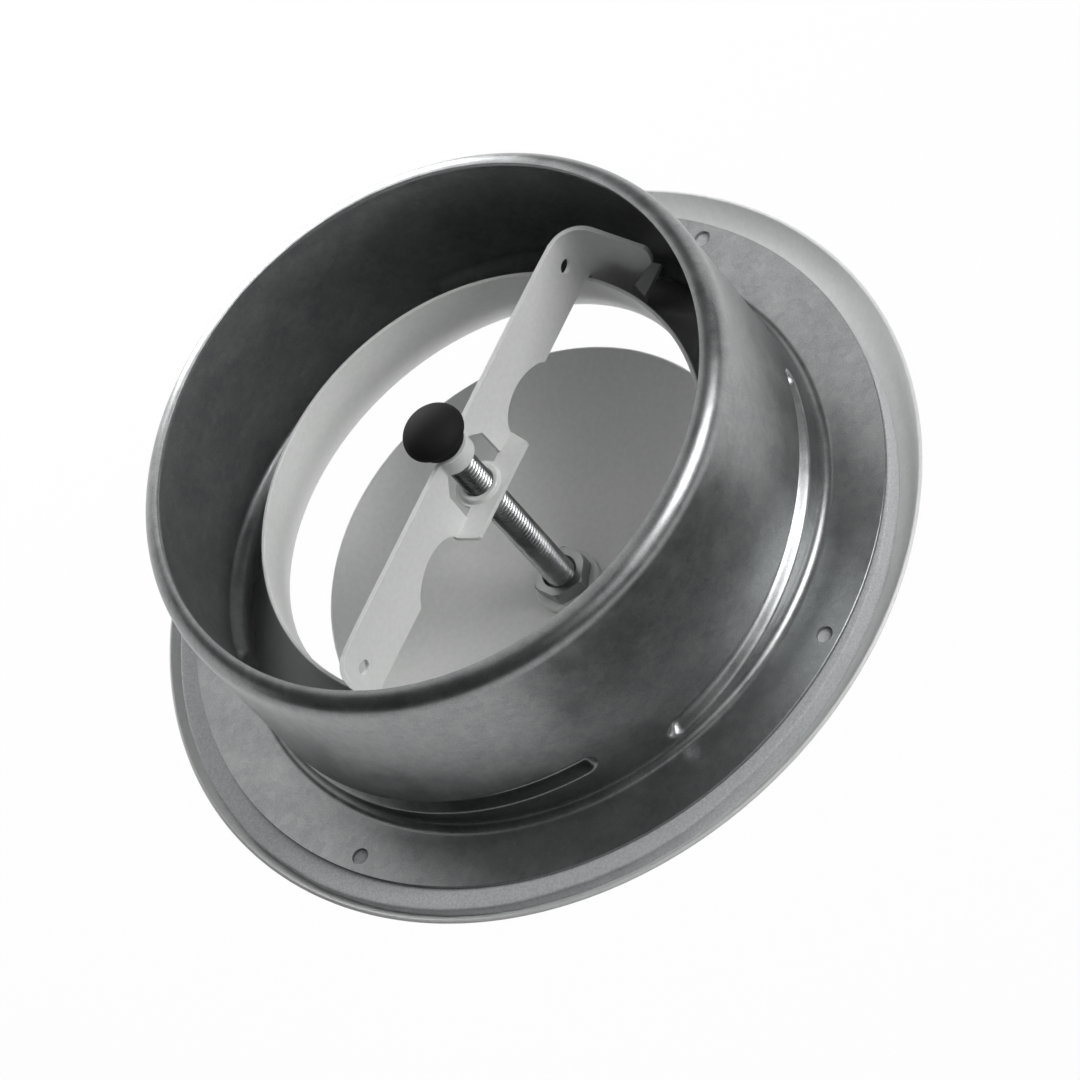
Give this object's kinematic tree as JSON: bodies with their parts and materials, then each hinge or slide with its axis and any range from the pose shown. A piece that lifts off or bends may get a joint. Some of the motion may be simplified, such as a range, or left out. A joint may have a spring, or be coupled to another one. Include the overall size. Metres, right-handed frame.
{
  "type": "extract disc valve",
  "caption": "Round ceiling extract valve with a screw-adjusted disc, locked by a bayonet turn in its flanged mounting collar.",
  "frame": {"origin": "centre of the screw circle, on the duct side of the collar's flange", "axes": "+Z along the valve's axis into the duct, +X along the bridge"},
  "size_m": [0.16, 0.16, 0.0642],
  "materials": {
    "galvanised_steel": "satin galvanised sheet",
    "white_powder_coat": "satin powder coat on pressed steel",
    "grey_foam": "soft cellular foam",
    "zinc_plated_steel": "bright zinc plate",
    "black_plastic": "smooth moulded plastic"
  },
  "bodies": {
    "collar": {"mounting_collar": "galvanised_steel"},
    "valve_body": {"face_ring": "white_powder_coat", "foam_gasket": "grey_foam", "bridge": "white_powder_coat"},
    "screw_end": {"end_cap": "black_plastic"},
    "disc_set": {"spindle": "zinc_plated_steel", "lock_nut": "zinc_plated_steel", "disc_boss": "white_powder_coat", "valve_disc": "white_powder_coat"}
  },
  "joints": [
    {"name": "bayonet_turn", "type": "hinge", "parent": "collar", "child": "valve_body", "pos_m": [0, 0, 0], "axis": [0, 0, 1], "range_deg": [-38.5, 0]},
    {"name": "disc_travel", "type": "slide", "parent": "valve_body", "child": "screw_end", "axis": [0, 0, 1], "range_m": [-0.001, 0.024]},
    {"name": "disc_turn", "type": "hinge", "parent": "screw_end", "child": "disc_set", "pos_m": [0, 0, 0], "axis": [0, 0, 1], "range_deg": [-360, 8640]}
  ],
  "couplings": [
    {"joint": "disc_travel", "follows": "disc_turn", "m_per_rad": 0.00015915}
  ]
}
